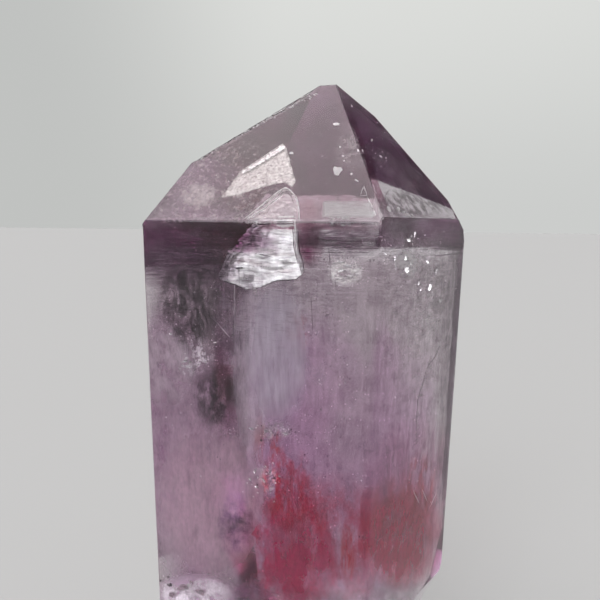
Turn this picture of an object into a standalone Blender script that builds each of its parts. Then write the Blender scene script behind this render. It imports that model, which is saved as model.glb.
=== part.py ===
"""Amethyst scepter: a wide quartz crystal head grown over a thinner stem.

The whole thing grew as one crystal, so it is one solid. The head is a six-sided
prism that ends in six sloping cap faces at the top. Its underside draws in over
two tiers of sloping faces to the stem, and the stem is cut off flat at the foot,
where it left the rock. The crystal stands on that cut.

Lengths are in millimetres where they carry the factor MM, and the model is in
metres with +Z up. The origin is on the cut, under the middle of the head.
"""

import math

import bmesh
import bpy
from mathutils import Vector

MM = 0.001

NODE_NAME = "amethyst_scepter"

# The prism faces stand 60 degrees apart. TURN is the heading of the front one,
# measured from -Y towards +X.
SIDES = 6
STEP_ANGLE = math.radians(60.0)
TURN = math.radians(-14.57)

# A rhombohedral face of quartz rises at this angle from the level.
CAP_SLOPE = math.radians(51.79)

# Head, going round from the front face by way of the right: how far each prism
# face stands from the axis, and the height of its shoulder, where the cap face
# above it begins.
HEAD_REACH = (7.83, 9.31, 10.40, 8.18, 8.33, 10.77)
HEAD_SHOULDER = (44.83, 45.15, 44.88, 42.82, 41.63, 44.61)

# Underside of the head: the height at which each prism face begins to draw in,
# then the slope of the upper tier, the depth of that tier, the slope of each face
# below it and the height at which the underside meets the stem.
HEAD_HEM = (17.0, 18.2, 18.8, 16.6, 18.9, 17.6)
UPPER_TIER_SLOPE = math.radians(69.0)
UPPER_TIER_DEPTH = 4.2
LOWER_TIER_DEGREES = (38.0, 46.0, 41.0, 44.0, 36.0, 47.0)
HEAD_UNDERCUT = 10.4

# Stem: a prism with the same headings, centred under the head's weight. Its faces
# lean in a little from the foot, where STEM_REACH is measured, to the head.
STEM_REACH = (5.2, 5.6, 5.2, 5.5, 5.1, 5.4)
STEM_SLOPE = math.radians(87.6)
STEM_CENTRE = (0.24, -0.10)
STEM_TOP = 20.0

# A block this wide and this tall holds the whole crystal before it is cut.
BLOCK_WIDTH = 60.0
BLOCK_HEIGHT = 80.0

AMETHYST_COLOUR = (0.42, 0.27, 0.38, 1.0)
AMETHYST_ROUGHNESS = 0.06
QUARTZ_IOR = 1.544


def clear_scene():
    """Remove every object that a new file opens with."""
    for existing in list(bpy.data.objects):
        bpy.data.objects.remove(existing, do_unlink=True)


def new_collection(name):
    """Return a new collection linked to the scene."""
    collection = bpy.data.collections.new(name)
    bpy.context.scene.collection.children.link(collection)
    return collection


def heading(side):
    """Return the level direction in which a prism face looks."""
    angle = TURN + side * STEP_ANGLE
    return Vector((math.sin(angle), -math.cos(angle), 0.0))


def block(floor, centre=(0.0, 0.0)):
    """Return a bmesh block that stands on the given height, in metres."""
    bm = bmesh.new()
    bmesh.ops.create_cube(bm, size=1.0)
    bmesh.ops.scale(bm, vec=(BLOCK_WIDTH * MM, BLOCK_WIDTH * MM, BLOCK_HEIGHT * MM), verts=bm.verts)
    middle = (centre[0] * MM, centre[1] * MM, (floor + BLOCK_HEIGHT / 2) * MM)
    bmesh.ops.translate(bm, vec=middle, verts=bm.verts)
    return bm


def cut_away(bm, point, outward):
    """Take off all that lies beyond a plane, and close the cut with one flat face."""
    everything = bm.verts[:] + bm.edges[:] + bm.faces[:]
    cut = bmesh.ops.bisect_plane(
        bm, geom=everything, dist=1e-8, plane_co=point, plane_no=outward, clear_outer=True
    )
    rim = [item for item in cut["geom_cut"] if isinstance(item, bmesh.types.BMEdge)]
    if rim:
        bmesh.ops.contextual_create(bm, geom=rim)


def cut_face(bm, side, reach, height=0.0, slope=math.pi / 2, downward=False, centre=(0.0, 0.0)):
    """Cut one face of the crystal, which passes the given reach at the given height.

    A face slopes up and looks at the sky, or looks at the ground if downward is
    set. Without a slope it is an upright prism face.
    """
    outward = heading(side)
    rise = -math.cos(slope) if downward else math.cos(slope)
    normal = outward * math.sin(slope) + Vector((0.0, 0.0, rise))
    point = Vector((centre[0], centre[1], height)) + outward * reach
    cut_away(bm, point * MM, normal)


def finish_mesh(bm, name, collection):
    """Turn a bmesh into an object whose faces all point outward."""
    bmesh.ops.recalc_face_normals(bm, faces=bm.faces)
    mesh = bpy.data.meshes.new(name)
    bm.to_mesh(mesh)
    bm.free()
    made = bpy.data.objects.new(name, mesh)
    collection.objects.link(made)
    return made


def make_head(collection):
    """Cut the head from a block: prism faces, cap faces, then the two tiers below."""
    bm = block(HEAD_UNDERCUT)
    for side in range(SIDES):
        reach = HEAD_REACH[side]
        hem = HEAD_HEM[side]
        tier_inset = UPPER_TIER_DEPTH / math.tan(UPPER_TIER_SLOPE)
        lower_slope = math.radians(LOWER_TIER_DEGREES[side])
        cut_face(bm, side, reach)
        cut_face(bm, side, reach, HEAD_SHOULDER[side], CAP_SLOPE)
        cut_face(bm, side, reach, hem, UPPER_TIER_SLOPE, downward=True)
        cut_face(bm, side, reach - tier_inset, hem - UPPER_TIER_DEPTH, lower_slope, downward=True)
    return finish_mesh(bm, NODE_NAME, collection)


def make_stem(collection):
    """Cut the stem from a block. Its top end lies inside the head."""
    bm = block(0.0, STEM_CENTRE)
    for side in range(SIDES):
        cut_face(bm, side, STEM_REACH[side], slope=STEM_SLOPE, centre=STEM_CENTRE)
    cut_away(bm, Vector((0.0, 0.0, STEM_TOP * MM)), Vector((0.0, 0.0, 1.0)))
    return finish_mesh(bm, "stem_inside_head", collection)


def amethyst_material():
    """Clear violet quartz."""
    material = bpy.data.materials.new("amethyst")
    material.use_nodes = True
    shader = material.node_tree.nodes["Principled BSDF"]
    shader.inputs["Base Color"].default_value = AMETHYST_COLOUR
    shader.inputs["Roughness"].default_value = AMETHYST_ROUGHNESS
    shader.inputs["Metallic"].default_value = 0.0
    shader.inputs["IOR"].default_value = QUARTZ_IOR
    material.diffuse_color = AMETHYST_COLOUR
    return material


def join_stem(head, stem):
    """Grow the head and the stem together into one solid."""
    union = head.modifiers.new("grown_together", "BOOLEAN")
    union.operation = "UNION"
    union.solver = "EXACT"
    union.object = stem
    stem.hide_render = True
    stem.display_type = "WIRE"


clear_scene()
crystal_parts = new_collection("amethyst_scepter")
cutters = new_collection("cutters")
crystal = make_head(crystal_parts)
crystal.data.materials.append(amethyst_material())
join_stem(crystal, make_stem(cutters))
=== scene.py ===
import math
import random

import bmesh
import bpy
from mathutils import Euler, Matrix, Vector, noise
from mathutils.bvhtree import BVHTree


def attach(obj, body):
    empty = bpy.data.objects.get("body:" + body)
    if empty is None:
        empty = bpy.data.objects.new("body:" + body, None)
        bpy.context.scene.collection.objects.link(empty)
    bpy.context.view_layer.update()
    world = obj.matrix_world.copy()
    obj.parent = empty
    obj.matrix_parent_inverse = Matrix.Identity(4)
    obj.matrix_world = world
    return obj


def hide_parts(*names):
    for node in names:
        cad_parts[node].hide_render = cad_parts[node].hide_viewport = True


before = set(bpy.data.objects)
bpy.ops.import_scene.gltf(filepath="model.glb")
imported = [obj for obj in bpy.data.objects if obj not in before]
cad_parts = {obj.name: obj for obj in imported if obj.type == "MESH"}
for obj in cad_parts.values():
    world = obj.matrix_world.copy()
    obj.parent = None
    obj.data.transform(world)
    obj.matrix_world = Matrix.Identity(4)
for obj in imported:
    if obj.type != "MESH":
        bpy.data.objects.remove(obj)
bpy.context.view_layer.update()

# Camera. It stands close to the crystal, level with the shoulder of the head, and
# is tilted down a little. A pixel is a place in the photograph, 600 by 600.
MM = 0.001
PHOTO_SIDE = 600
FOCAL_PIXELS = 442.4
CAMERA_PLACE = Vector((-0.133, -32.62, 44.61)) * MM
CAMERA_HEADING = math.radians(-0.13)
CAMERA_DIP = math.radians(9.525)
CAMERA_ROLL = math.radians(0.651)

scene = bpy.context.scene
lens = bpy.data.cameras.new("camera")
lens.sensor_width = 36.0
lens.lens = lens.sensor_width * FOCAL_PIXELS / PHOTO_SIDE
lens.clip_start = 0.001
lens.clip_end = 20.0
camera = bpy.data.objects.new("camera", lens)
scene.collection.objects.link(camera)
camera.matrix_world = (
    Matrix.Translation(CAMERA_PLACE)
    @ Matrix.Rotation(CAMERA_HEADING, 4, "Z")
    @ Matrix.Rotation(math.pi / 2 - CAMERA_DIP, 4, "X")
    @ Matrix.Rotation(CAMERA_ROLL, 4, "Z")
)
scene.camera = camera
scene.view_settings.view_transform = "Standard"

# Light passes many walls and flaws of a clear crystal before it is out again.
scene.cycles.max_bounces = 32
scene.cycles.transmission_bounces = 32
scene.cycles.glossy_bounces = 24
scene.cycles.transparent_max_bounces = 128


class Finish:
    """One socket of a material's nodes. Python's operators on it add Math nodes."""

    def __init__(self, tree, socket=None):
        self.tree = tree
        self.socket = socket

    def node(self, kind, settings=None, values=None, take=0):
        """Add a node: its settings first, then what each of its sockets holds or is linked to."""
        made = self.tree.nodes.new(kind)
        for name, value in (settings or {}).items():
            setattr(made, name, value)
        for name, value in (values or {}).items():
            if isinstance(value, Finish):
                self.tree.links.new(value.socket, made.inputs[name])
            else:
                made.inputs[name].default_value = value
        return Finish(self.tree, made.outputs[take] if made.outputs else None)

    def sum(self, operation, first, second):
        """One Math node."""
        return self.node("ShaderNodeMath", {"operation": operation}, {0: first, 1: second})

    def __add__(self, other):
        return self.sum("ADD", self, other)

    def __radd__(self, other):
        return self.sum("ADD", other, self)

    def __sub__(self, other):
        return self.sum("SUBTRACT", self, other)

    def __rsub__(self, other):
        return self.sum("SUBTRACT", other, self)

    def __mul__(self, other):
        return self.sum("MULTIPLY", self, other)

    def __rmul__(self, other):
        return self.sum("MULTIPLY", other, self)

    def within(self, low, high):
        """0 below low and 1 above high, with a soft step between them."""
        settings = {"interpolation_type": "SMOOTHSTEP"}
        return self.node("ShaderNodeMapRange", settings, {0: self, 1: low, 2: high})

    def mix(self, share, first, second):
        """One colour turning into another."""
        values = {0: share, 6: first, 7: second}
        return self.node("ShaderNodeMix", {"data_type": "RGBA"}, values, take=2)

    def grain(self, place, size, detail=3.0, stretch=(1.0, 1.0, 1.0), roughness=0.5, seed=0.0):
        """Noise from 0 to 1 over grains of a size in metres, drawn out where stretch is above 1."""
        shape = tuple(1.0 / (size * length) for length in stretch)
        shift = (seed * 3.1, seed * 1.7, seed * 2.3)
        spot = self.node("ShaderNodeMapping", values={"Vector": place, "Location": shift, "Scale": shape})
        return self.node("ShaderNodeTexNoise", values={
            "Vector": spot, "Scale": 1.0, "Detail": detail, "Roughness": roughness})


def new_finish(block):
    """Empty the nodes of a new material or world, and return the handle that adds to them."""
    block.use_nodes = True
    block.node_tree.nodes.clear()
    return Finish(block.node_tree)


# Stage. A wide pale floor runs back to where it meets a pale room of its own tone,
# with one broad soft light overhead and one behind the camera, high on the left. The
# room is dimmer to the left, behind the camera and high on the right.
ROOM_GREY = (0.600, 0.610, 0.600, 1.0)
ROOM_ABOVE = (0.72, 0.73, 0.71, 1.0)
ROOM_LEFT = (0.53, 0.54, 0.53, 1.0)
ROOM_FRONT = (0.34, 0.33, 0.34, 1.0)
ROOM_RIGHT = (0.10, 0.09, 0.10, 1.0)
ROOM_RIGHT_SIDE = Vector((0.655, 0.476, 0.588)).normalized()
SOFT_LIGHT = (3.2, 2.85, 2.98, 1.0)
SOFT_LIGHT_SIDE = Vector((-0.33, -0.03, 0.94)).normalized()
FRONT_LIGHT = (3.8, 3.8, 3.9, 1.0)
FRONT_LIGHT_SIDE = Vector((-0.35, -0.80, 0.48)).normalized()
FLOOR_GREY = (0.412, 0.432, 0.420, 1.0)
FLOOR_WIDTH = 8.0
# Each part of the room begins at one cosine to its own side and is whole at another.
ABOVE_SPAN = (0.0, 0.5)
LEFT_SPAN = (0.0, 0.5)
FRONT_SPAN = (-0.1, 0.8)
RIGHT_SPAN = (0.935, 0.975)
FRONT_LIGHT_SPAN = (0.86, 0.95)
SOFT_LIGHT_SPAN = (0.78, 0.95)

bpy.ops.object.select_all(action="DESELECT")
bpy.ops.mesh.primitive_plane_add(size=FLOOR_WIDTH)
floor = bpy.context.object
floor.name = "floor"
paper = bpy.data.materials.new("floor_paper")
paper_nodes = new_finish(paper)
paper_nodes.node("ShaderNodeOutputMaterial", values={
    "Surface": paper_nodes.node("ShaderNodeBsdfDiffuse", values={"Color": FLOOR_GREY})})
floor.data.materials.append(paper)

room = bpy.data.worlds.new("room")
scene.world = room
room_nodes = new_finish(room)
toward = room_nodes.node("ShaderNodeTexCoord")
toward_x, toward_y, toward_z = (room_nodes.node("ShaderNodeSeparateXYZ", values={0: toward}, take=axis)
                                for axis in range(3))


def nearness(side):
    """The cosine of the angle between where a ray goes and one side of the room."""
    return toward_x * side.x + toward_y * side.y + toward_z * side.z


room_colour = room_nodes.mix(toward_z.within(*ABOVE_SPAN), ROOM_GREY, ROOM_ABOVE)
room_colour = room_nodes.mix((0.0 - toward_x).within(*LEFT_SPAN), room_colour, ROOM_LEFT)
bare_room = room_colour
room_colour = room_nodes.mix((0.0 - toward_y).within(*FRONT_SPAN), room_colour, ROOM_FRONT)
room_colour = room_nodes.mix(nearness(FRONT_LIGHT_SIDE).within(*FRONT_LIGHT_SPAN), room_colour, FRONT_LIGHT)
room_colour = room_nodes.mix(nearness(ROOM_RIGHT_SIDE).within(*RIGHT_SPAN), room_colour, ROOM_RIGHT)
room_colour = room_nodes.mix(nearness(SOFT_LIGHT_SIDE).within(*SOFT_LIGHT_SPAN), room_colour, SOFT_LIGHT)

# The lights light the crystal but aren't seen themselves as the backdrop.
seen_straight = room_nodes.node("ShaderNodeLightPath")
room_colour = room_nodes.mix(seen_straight, room_colour, bare_room)
room_nodes.node("ShaderNodeOutputWorld", values={
    "Surface": room_nodes.node("ShaderNodeBackground", values={"Color": room_colour})})


# Crystal. One piece of clear violet quartz as it grew: flat faces with fine level
# growth steps on the prism, tiny pits on the front cap face, a chipped ridge on the
# upper left, and edges worn a little round. It stands on the cut of its stem.
FRONT_HEADING = math.radians(-14.57)
CAP_SLOPE = math.radians(51.79)
QUARTZ_IOR = 1.544
EDGE_WEAR = 0.06 * MM
FRONT_EDGE_WEAR = 0.30 * MM
RIGHT_EDGE_WEAR = 0.08 * MM
RIDGE_WEAR = 0.20 * MM
RIDGE_CHIP = 0.20 * MM
RIDGE_CHIP_GAP = 0.25 * MM
RIDGE_STRIP = 0.5 * MM
CORNER_BROKEN = 0.36 * MM
STEP_BOTTOM = 19.5 * MM
STEP_TOP = 44.4 * MM
STEP_CROWD = 3.0 * MM
STEP_WIDTH = 0.07 * MM
STEP_DEPTH = 0.007 * MM
STEP_LIMIT = 0.05 * MM
PIT_SPACING = 0.22 * MM
PIT_DEPTH = 0.010 * MM
STEP_SHOWN = 0.6
STEP_GAPS = (0.3, 1.9)
STEP_GAPS_CROWDED = (0.10, 0.42)
CORNER_RISES = (0.15, 0.55)
LEAST_EDGE_ANGLE = math.radians(5)
CLEAR_VIOLET = (0.86, 0.81, 0.85, 1.0)
CLEAR_VIOLET_DENSITY = 75.0
MERGE_GAP = 1e-6
SAME_PLANE = math.radians(0.3)
JUST_INSIDE = 1e-6
LEAST_DEPTH = 0.15
DEEPEST_SHARE = 0.92
UP = Vector((0.0, 0.0, 1.0))


def heading(side):
    """The level direction in which a prism face looks. Sides count from the front one to the right."""
    angle = FRONT_HEADING + side * math.pi / 3
    return Vector((math.sin(angle), -math.cos(angle), 0.0))


def cap_normal(side):
    """The direction in which the cap face above a prism face looks."""
    return heading(side) * math.sin(CAP_SLOPE) + Vector((0.0, 0.0, math.cos(CAP_SLOPE)))


def work_on(piece):
    """Let go of everything else and open one piece in edit mode."""
    bpy.ops.object.select_all(action="DESELECT")
    piece.select_set(True)
    bpy.context.view_layer.objects.active = piece
    bpy.ops.object.mode_set(mode="EDIT")
    bpy.ops.mesh.select_all(action="SELECT")


def put_down(piece, smooth=False):
    """Close edit mode."""
    bpy.ops.object.mode_set(mode="OBJECT")
    for face in piece.data.polygons:
        face.use_smooth = smooth


def looks(face, direction, slack=0.9995):
    """Does a face look in a direction?"""
    return face.normal.dot(direction) > slack


def cut_across(bm, geometry, point, normal, clear=False):
    """Score faces along a plane. clear takes off what is beyond it and closes the cut."""
    cut = bmesh.ops.bisect_plane(
        bm, geom=geometry, dist=1e-8, plane_co=point, plane_no=normal, clear_outer=clear)
    if clear:
        rim = [item for item in cut["geom_cut"] if isinstance(item, bmesh.types.BMEdge)]
        bmesh.ops.contextual_create(bm, geom=rim)


def everything(bm):
    """All the geometry of a bmesh."""
    return bm.verts[:] + bm.edges[:] + bm.faces[:]


def score_face(bm, direction, point, normal):
    """Score only the faces that look in one direction along a plane."""
    faces = [face for face in bm.faces if looks(face, direction)]
    geometry = dict.fromkeys(item for face in faces for item in (face, *face.edges, *face.verts))
    cut_across(bm, list(geometry), point, normal)


def own(piece, material, replaces=None):
    """Give a finished piece its material and say which body it rides on."""
    piece.data.materials.clear()
    piece.data.materials.append(material)
    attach(piece, "root")
    if replaces:
        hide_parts(replaces)


def copy_of_cad(name):
    """A copy of the CAD solid, open in edit mode with its flat faces whole, and its bmesh."""
    piece = bpy.data.objects.new(name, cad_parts["amethyst_scepter"].data.copy())
    scene.collection.objects.link(piece)
    work_on(piece)
    bpy.ops.mesh.remove_doubles(threshold=MERGE_GAP)
    bpy.ops.mesh.dissolve_limited(angle_limit=SAME_PLANE)
    return piece, bmesh.from_edit_mesh(piece.data)


crystal, shell = copy_of_cad("crystal")

# The plain faces are kept before they are worn. A pixel's line of sight, bent by
# the first face that it meets, leads from them to the flaws inside.
plain_faces = BVHTree.FromBMesh(shell)


def look_through(pixel):
    """The way a pixel's line of sight runs, and the point, normal and number of the face it meets."""
    across = (pixel[0] - PHOTO_SIDE / 2) / FOCAL_PIXELS
    down = (pixel[1] - PHOTO_SIDE / 2) / FOCAL_PIXELS
    sight = (camera.matrix_world.to_3x3() @ Vector((across, -down, -1.0))).normalized()
    return (sight, *plain_faces.ray_cast(CAMERA_PLACE, sight)[:3])


def face_at(pixel):
    """The number of the face that shows at a pixel, or None beside the crystal."""
    return look_through(pixel)[3]


def seen(pixel, depth, lean=(0.0, 0.0), about=None):
    """The point in the crystal that shows at a pixel, so many millimetres behind its face.

    lean adds to the depth for each ten pixels to the right and each ten pixels down of about.
    """
    if about:
        depth += lean[0] * (pixel[0] - about[0]) / 10.0 + lean[1] * (pixel[1] - about[1]) / 10.0
    sight, hit, normal, _ = look_through(pixel)
    if hit is None:
        raise ValueError(f"pixel {pixel} misses the crystal")
    steep = -sight.dot(normal)
    bend = 1.0 / QUARTZ_IOR
    inward = sight * bend + normal * (bend * steep - math.sqrt(1.0 - bend ** 2 * (1.0 - steep ** 2)))
    room_inside = plain_faces.ray_cast(hit + inward * JUST_INSIDE, inward)[3]
    way = max(depth, LEAST_DEPTH) * MM / -inward.dot(normal)
    return hit + inward * min(way, DEEPEST_SHARE * room_inside)


def parts(edge, first, second):
    """Does an edge part a face that looks in one direction from one that looks in another?"""
    return all(any(looks(face, way) for face in edge.link_faces) for way in (first, second))


def wear_of(edge):
    """How far back an edge of the crystal is worn, as a share of the widest wear."""
    if len(edge.link_faces) < 2 or edge.calc_face_angle(0.0) < LEAST_EDGE_ANGLE:
        return 0.0
    if parts(edge, heading(0), heading(1)):
        return 1.0
    if parts(edge, cap_normal(0), cap_normal(4)) or parts(edge, cap_normal(0), cap_normal(3)):
        return RIDGE_WEAR / FRONT_EDGE_WEAR
    if parts(edge, heading(1), heading(2)) or parts(edge, cap_normal(1), cap_normal(2)):
        return RIGHT_EDGE_WEAR / FRONT_EDGE_WEAR
    return EDGE_WEAR / FRONT_EDGE_WEAR


corner = max((v.co.copy() for v in shell.verts), key=lambda co: co.x + co.z * 0.2 - co.y * 0.1)
for rise in CORNER_RISES:
    outward = (heading(1) * 0.6 + heading(2) * 0.5 + Vector((0.0, 0.0, rise))).normalized()
    cut_across(shell, everything(shell), corner - outward * CORNER_BROKEN * (0.4 + rise), outward, clear=True)
wear = shell.edges.layers.float.new("bevel_weight_edge")
for edge in shell.edges:
    edge[wear] = wear_of(edge)
bmesh.update_edit_mesh(crystal.data)
put_down(crystal)
rounding = crystal.modifiers.new("worn_edges", "BEVEL")
rounding.width = FRONT_EDGE_WEAR
rounding.limit_method = "WEIGHT"
rounding.segments = 4
rounding.use_clamp_overlap = False
bpy.ops.object.modifier_apply(modifier=rounding.name)

# Growth steps: fine level treads round the prism, crowded under the shoulder.
work_on(crystal)
shell = bmesh.from_edit_mesh(crystal.data)
chance = random.Random(11)
treads = []
level = STEP_TOP
while level > STEP_BOTTOM:
    shown_on = [chance.random() < STEP_SHOWN for side in range(6)]
    treads.append((level, chance.uniform(0.3, 1.0) * STEP_DEPTH * chance.choice((-1, 1)), shown_on))
    for edge_of_tread in (level, level - STEP_WIDTH):
        cut_across(shell, everything(shell), UP * edge_of_tread, UP)
    crowded = level > STEP_TOP - STEP_CROWD
    level -= chance.uniform(*(STEP_GAPS_CROWDED if crowded else STEP_GAPS)) * MM


def tread_depth(height, side):
    """How far the growth steps above a height have drawn a prism face in."""
    drawn_in = 0.5 * STEP_LIMIT
    for tread_height, rise, sides_shown in treads:
        if sides_shown[side] and height < tread_height - STEP_WIDTH / 2:
            drawn_in = min(max(drawn_in + rise, 0.0), STEP_LIMIT)
    return drawn_in


shell.normal_update()
for vertex in shell.verts:
    if not STEP_BOTTOM - MM < vertex.co.z < STEP_TOP + 0.01 * MM:
        continue
    shares = [max(0.0, vertex.normal.dot(heading(side))) ** 12 for side in range(6)]
    if max(shares) < 0.05:
        continue
    drawn = sum(share * tread_depth(vertex.co.z, side) for side, share in enumerate(shares) if share > 0.01)
    vertex.co -= vertex.normal * drawn / sum(share for share in shares if share > 0.01)

# The ridge of the cap on the left is chipped: its worn strip is cut across at
# uneven steps and pushed in by uneven amounts.
ridge_low = Vector((-6.97, -3.13, 48.7)) * MM
ridge_high = Vector((1.07, -0.91, 53.99)) * MM
ridge_way = (ridge_high - ridge_low).normalized()
for side, other_side in ((0, 4), (4, 0)):
    downhill = cap_normal(side).cross(ridge_way)
    if downhill.dot(cap_normal(other_side)) > 0.0:
        downhill.negate()
    score_face(shell, cap_normal(side), ridge_low + downhill * RIDGE_STRIP, downhill)
reached = 0.0
while reached < (ridge_high - ridge_low).length:
    cut_across(shell, everything(shell), ridge_low + ridge_way * reached, ridge_way)
    reached += RIDGE_CHIP_GAP * chance.uniform(0.4, 1.8)
shell.normal_update()
ridge_out = (cap_normal(0) + cap_normal(4)).normalized()
for vertex in shell.verts:
    along = (vertex.co - ridge_low).dot(ridge_way)
    if not 0.0 < along < (ridge_high - ridge_low).length:
        continue
    nearest = ridge_low + ridge_way * along
    if (vertex.co - nearest).length < RIDGE_WEAR * 1.2:
        bite = noise.noise(Vector((along / (0.9 * MM), 3.3, 0.0))) + 0.4 * noise.noise(
            Vector((along / (0.25 * MM), 7.1, vertex.co.y / (0.1 * MM))))
        vertex.co -= ridge_out * RIDGE_CHIP * max(0.0, min(1.0, bite + 0.25))

# Pits and low growth hills on the front cap face.
level_way = heading(0).cross(UP).normalized()
upward_way = cap_normal(0).cross(level_way).normalized()
cap_corners = [v.co.copy() for f in shell.faces if looks(f, cap_normal(0)) for v in f.verts]
for way in (level_way, upward_way):
    low = min(co.dot(way) for co in cap_corners)
    high = max(co.dot(way) for co in cap_corners)
    mark = low + PIT_SPACING
    while mark < high:
        score_face(shell, cap_normal(0), way * mark, way)
        mark += PIT_SPACING * chance.uniform(0.8, 1.2)
for vertex in shell.verts:
    if all(looks(f, cap_normal(0)) for f in vertex.link_faces):
        hill = noise.noise(vertex.co / (0.55 * MM)) + 0.6 * noise.noise(vertex.co / (0.22 * MM))
        vertex.co -= cap_normal(0) * PIT_DEPTH * (1.2 + hill)
bmesh.update_edit_mesh(crystal.data)
put_down(crystal)
for face in crystal.data.polygons:
    large = face.area > (0.6 * MM) ** 2
    face.use_smooth = not large and not (abs(face.normal.z) < 0.4 and face.area > (0.2 * MM) ** 2)

amethyst = bpy.data.materials.new("clear_amethyst")
quartz = new_finish(amethyst)
place = quartz.node("ShaderNodeTexCoord", take=3)
height = quartz.node("ShaderNodeSeparateXYZ", values={0: place}, take=2)
on_prism = 1.0 - height.within(44.6 * MM, 45.0 * MM)
lines = quartz.grain(place, 0.06 * MM, detail=2.0, stretch=(30.0, 30.0, 1.0))
dimples = quartz.grain(place, 0.25 * MM, detail=3.0)
relief = lines * on_prism * 0.7 + dimples * (1.0 - on_prism)
bumps = quartz.node("ShaderNodeBump", values={
    "Strength": 0.35, "Distance": 0.012 * MM, "Height": relief})
etched = quartz.grain(place, 0.8 * MM, detail=4.0).within(0.52, 0.72)
skin = quartz.node("ShaderNodeBsdfPrincipled", values={
    "Base Color": (1.0, 1.0, 1.0, 1.0), "Transmission Weight": 1.0,
    "Roughness": 0.02 + etched * 0.05, "IOR": QUARTZ_IOR, "Normal": bumps})
tint = quartz.node("ShaderNodeVolumeAbsorption", values={
    "Color": CLEAR_VIOLET, "Density": CLEAR_VIOLET_DENSITY})
quartz.node("ShaderNodeOutputMaterial", values={"Surface": skin, "Volume": tint})
own(crystal, amethyst, replaces="amethyst_scepter")


# Violet zone. The colour of the crystal is not even: the clear cap has little, and
# the body under the shoulder is a stronger violet. It is the same quartz.
ZONE_TOP = 42.5 * MM
ZONE_BOTTOM = 1.0 * MM
ZONE_WIDTH_SHARE = 0.955
ZONE_VIOLET = (0.62, 0.50, 0.57, 1.0)
ZONE_DENSITY = 68.0


def absorbing_finish(name, colour, density):
    """Quartz that bends nothing and only takes light away: a stain, or painted red light."""
    stain = bpy.data.materials.new(name)
    nodes = new_finish(stain)
    clear = nodes.node("ShaderNodeBsdfTransparent", values={"Color": (1.0, 1.0, 1.0, 1.0)})
    taken = nodes.node("ShaderNodeVolumeAbsorption", values={"Color": colour, "Density": density})
    nodes.node("ShaderNodeOutputMaterial", values={"Surface": clear, "Volume": taken})
    return stain


def slice_of_crystal(name, low, high, share):
    """The crystal between two heights, drawn in from its sides to a share of its width."""
    piece, bm = copy_of_cad(name)
    cut_across(bm, everything(bm), UP * high, UP, clear=True)
    cut_across(bm, everything(bm), UP * low, -UP, clear=True)
    bmesh.ops.scale(bm, vec=(share, share, 1.0), verts=bm.verts)
    bmesh.update_edit_mesh(piece.data)
    put_down(piece)
    return piece


own(slice_of_crystal("violet_zone", ZONE_BOTTOM, ZONE_TOP, ZONE_WIDTH_SHARE),
    absorbing_finish("violet_stain", ZONE_VIOLET, ZONE_DENSITY))


# Lumps that take light away. Over the whole lower part the colour is stronger, rose;
# the wine red low down on the left is painted red light, as if seen through the crystal
# from behind. None of them reaches the skin.
LUMPS = {
    # name: (pixel, depth, radii across, deep and up in mm, colour, density)
    "rose_zone": ((300, 470), 8.5, (8.8, 6.0, 11.0), (0.96, 0.64, 0.94, 1.0), 95.0),
    "red_light_zone_left": ((292, 552), 4.5, (1.6, 1.8, 3.4), (0.85, 0.16, 0.40, 1.0), 150.0),
}
LUMP_ROUGHNESS = 0.42
SKIN = 0.08 * MM


def keep_inside(piece):
    """Draw in whatever part of a flaw would reach past the skin of the crystal."""
    for vertex in piece.data.vertices:
        nearest, normal, _, _ = plain_faces.find_nearest(vertex.co)
        if (nearest - vertex.co).dot(normal) < SKIN:
            vertex.co = nearest - normal * SKIN


for name, (pixel, depth, radii, colour, density) in LUMPS.items():
    bpy.ops.object.select_all(action="DESELECT")
    bpy.ops.mesh.primitive_ico_sphere_add(subdivisions=4, radius=1.0)
    lump = bpy.context.object
    lump.name = name
    centre = seen(pixel, depth)
    for vertex in lump.data.vertices:
        swell = 1.0 + LUMP_ROUGHNESS * noise.fractal(vertex.co * 1.6 + centre * 900, 1.0, 2.0, 3)
        point = vertex.co * swell
        vertex.co = centre + Vector((point.x * radii[0], point.y * radii[1], point.z * radii[2])) * MM
    for face in lump.data.polygons:
        face.use_smooth = True
    keep_inside(lump)
    own(lump, absorbing_finish(name + "_stain", colour, density))


# Veils. Healed cracks full of fine bubbles run through the crystal as thin milky
# sheets. They are weak in the head, and crowd together down in the stem.
VEIL_MARGIN = 0.25 * MM
VEIL_FADE = 1.3 * MM
VEIL_WAVE = 1.0
MILK = (0.86, 0.82, 0.88, 1.0)
EVEN = (1.0, 1.0, 1.0)


def depth_inside(point):
    """How deep a point lies under the plain faces, or below 0 outside them."""
    nearest, normal, _, distance = plain_faces.find_nearest(point)
    return distance if (nearest - point).dot(normal) > 0 else -distance


def set_cover(piece, values):
    """Keep on every corner of a sheet how much it covers there."""
    cover = piece.data.attributes.new("cover", "FLOAT", "POINT")
    cover.data.foreach_set("value", values)


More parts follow.
